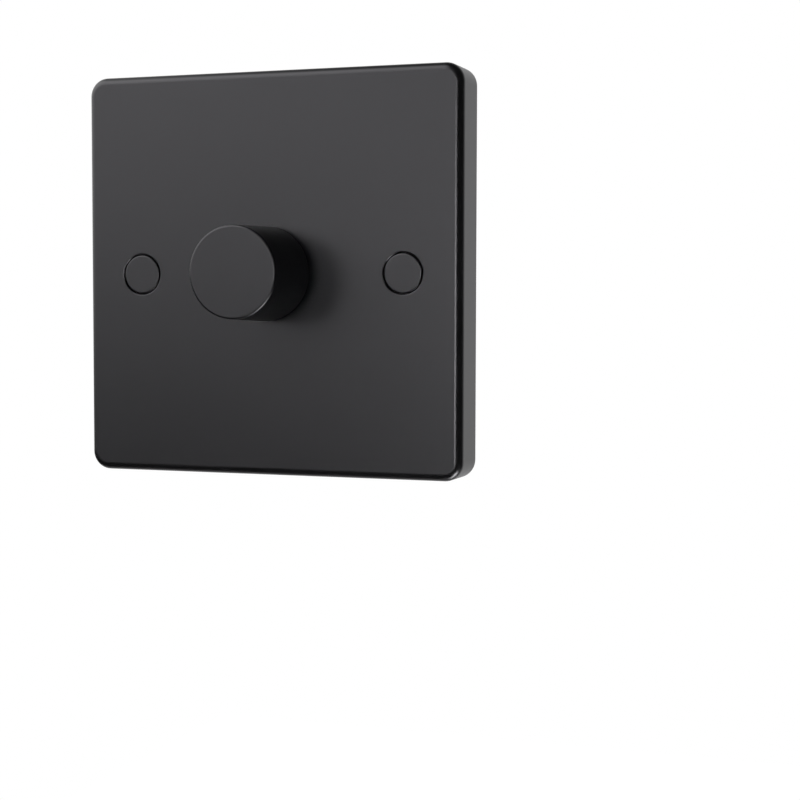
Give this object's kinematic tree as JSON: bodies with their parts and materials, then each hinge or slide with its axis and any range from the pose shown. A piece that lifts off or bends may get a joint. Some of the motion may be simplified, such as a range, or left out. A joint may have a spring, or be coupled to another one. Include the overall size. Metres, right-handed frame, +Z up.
{
  "type": "rotary light dimmer",
  "caption": "Square black wall plate with a round push knob and capped fixing screws; behind it a white dimmer module with screw terminals",
  "frame": {"origin": "centre of the square plate on the plane of the wall, midway between the two fixing screws", "axes": "+X to the right seen from the room, +Y into the wall, +Z up"},
  "size_m": [0.086, 0.0445, 0.086],
  "materials": {
    "plate_paint": "matt black powder coat on pressed steel",
    "cap_paint": "matt black painted moulding",
    "knob_paint": "matt black painted moulding",
    "spring_steel": "bright spring steel",
    "liner_plastic": "black moulded insulator, fine grain",
    "zinc_steel": "bright zinc plated steel",
    "brass_plain": "plain rolled brass",
    "case_plastic": "white moulded casing, light satin grain",
    "board_epoxy": "green solder resist on glass epoxy",
    "tinned_metal": "tinned copper",
    "bush_plastic": "blue glass filled moulding",
    "rotor_plastic": "natural acetal",
    "contact_brass": "silvered contact strip",
    "wafer_phenolic": "brown phenolic laminate",
    "shaft_plastic": "black moulded shaft, semi-gloss",
    "switch_plastic": "black moulding",
    "plunger_plastic": "white acetal",
    "terminal_plastic": "green moulded housing",
    "trimmer_plastic": "dark blue moulding",
    "fuse_plastic": "black moulded fuse body",
    "capacitor_box": "yellow moulded box",
    "capacitor_sleeve": "dark blue sleeve",
    "ferrite": "sintered ferrite",
    "enamelled_copper": "enamelled copper wire",
    "heat_aluminium": "mill finish aluminium",
    "chip_epoxy": "moulded epoxy",
    "cage_brass": "nickel plated brass"
  },
  "bodies": {
    "module": {"bush_nut": "zinc_steel", "bush_washer": "zinc_steel", "choke_core": "ferrite", "choke_winding": "enamelled_copper", "circuit_board": "board_epoxy", "component_leads": "tinned_metal", "control_body": "bush_plastic", "controller_chip": "chip_epoxy", "earth_tab": "brass_plain", "film_capacitor": "capacitor_box", "fixing_screw_left": "zinc_steel", "fixing_screw_right": "zinc_steel", "front_plate": "plate_paint", "fuse": "fuse_plastic", "heat_plate": "heat_aluminium", "module_case": "case_plastic", "module_cover": "case_plastic", "plate_liner": "liner_plastic", "push_spring": "spring_steel", "screw_cap_left": "cap_paint", "screw_cap_right": "cap_paint", "smoothing_capacitor": "capacitor_sleeve", "switch_base": "switch_plastic", "terminal_contact_1": "contact_brass", "terminal_contact_2": "contact_brass", "terminal_contact_3": "contact_brass", "terminal_housing": "terminal_plastic", "track_wafer": "wafer_phenolic", "transistor_1": "chip_epoxy", "transistor_2": "chip_epoxy", "trimmer_body": "trimmer_plastic"},
    "control_rotor": {"rotor": "rotor_plastic", "wiper": "contact_brass"},
    "knob_and_shaft": {"knob": "knob_paint", "knob_clip": "spring_steel", "shaft": "shaft_plastic"},
    "plunger": {"switch_plunger": "plunger_plastic"},
    "trimmer": {"trimmer_rotor": "trimmer_plastic"},
    "earth_clamp": {"earth_saddle": "brass_plain"},
    "earth_fastener": {"earth_screw": "brass_plain"},
    "clamp_fastener_1": {"clamp_screw_1": "zinc_steel"},
    "cage_1": {"wire_cage_1": "cage_brass"},
    "clamp_fastener_2": {"clamp_screw_2": "zinc_steel"},
    "cage_2": {"wire_cage_2": "cage_brass"},
    "clamp_fastener_3": {"clamp_screw_3": "zinc_steel"},
    "cage_3": {"wire_cage_3": "cage_brass"}
  },
  "joints": [
    {"name": "knob_turn", "type": "hinge", "parent": "module", "child": "control_rotor", "pos_m": [0, 0, 0], "axis": [0, 1, 0], "range_deg": [0, 300]},
    {"name": "knob_push", "type": "slide", "parent": "control_rotor", "child": "knob_and_shaft", "axis": [0, 1, 0], "range_m": [0, 0.0012], "stiffness_N_per_m": 3000, "springref_m": -0.001},
    {"name": "plunger_slide", "type": "slide", "parent": "module", "child": "plunger", "axis": [0, 1, 0], "range_m": [0, 0.0012], "deforming": ["push_spring"]},
    {"name": "trimmer_turn", "type": "hinge", "parent": "module", "child": "trimmer", "pos_m": [0.0113, 0.0059, 0.0256], "axis": [-1, 0, 0], "range_deg": [0, 270]},
    {"name": "earth_clamp_slide", "type": "slide", "parent": "module", "child": "earth_clamp", "axis": [0, 1, 0], "range_m": [0, 0.0018]},
    {"name": "earth_screw_turn", "type": "hinge", "parent": "earth_clamp", "child": "earth_fastener", "pos_m": [-0.028, -0.0024, 0.027], "axis": [0, 1, 0], "range_deg": [0, 1080]},
    {"name": "clamp_screw_turn_1", "type": "hinge", "parent": "module", "child": "clamp_fastener_1", "pos_m": [-0.00228, 0.00195, -0.02416], "axis": [0, 1, 0], "range_deg": [0, 1440]},
    {"name": "cage_slide_1", "type": "slide", "parent": "module", "child": "cage_1", "axis": [0, -1, 0], "range_m": [0, 0.002]},
    {"name": "clamp_screw_turn_2", "type": "hinge", "parent": "module", "child": "clamp_fastener_2", "pos_m": [0.0028, 0.00195, -0.02416], "axis": [0, 1, 0], "range_deg": [0, 1440]},
    {"name": "cage_slide_2", "type": "slide", "parent": "module", "child": "cage_2", "axis": [0, -1, 0], "range_m": [0, 0.002]},
    {"name": "clamp_screw_turn_3", "type": "hinge", "parent": "module", "child": "clamp_fastener_3", "pos_m": [0.00788, 0.00195, -0.02416], "axis": [0, 1, 0], "range_deg": [0, 1440]},
    {"name": "cage_slide_3", "type": "slide", "parent": "module", "child": "cage_3", "axis": [0, -1, 0], "range_m": [0, 0.002]}
  ],
  "couplings": [
    {"joint": "plunger_slide", "follows": "knob_push", "ratio": 1},
    {"joint": "earth_screw_turn", "follows": "earth_clamp_slide", "rad_per_m": 10472},
    {"joint": "clamp_screw_turn_1", "follows": "cage_slide_1", "rad_per_m": 12566},
    {"joint": "clamp_screw_turn_2", "follows": "cage_slide_2", "rad_per_m": 12566},
    {"joint": "clamp_screw_turn_3", "follows": "cage_slide_3", "rad_per_m": 12566}
  ]
}
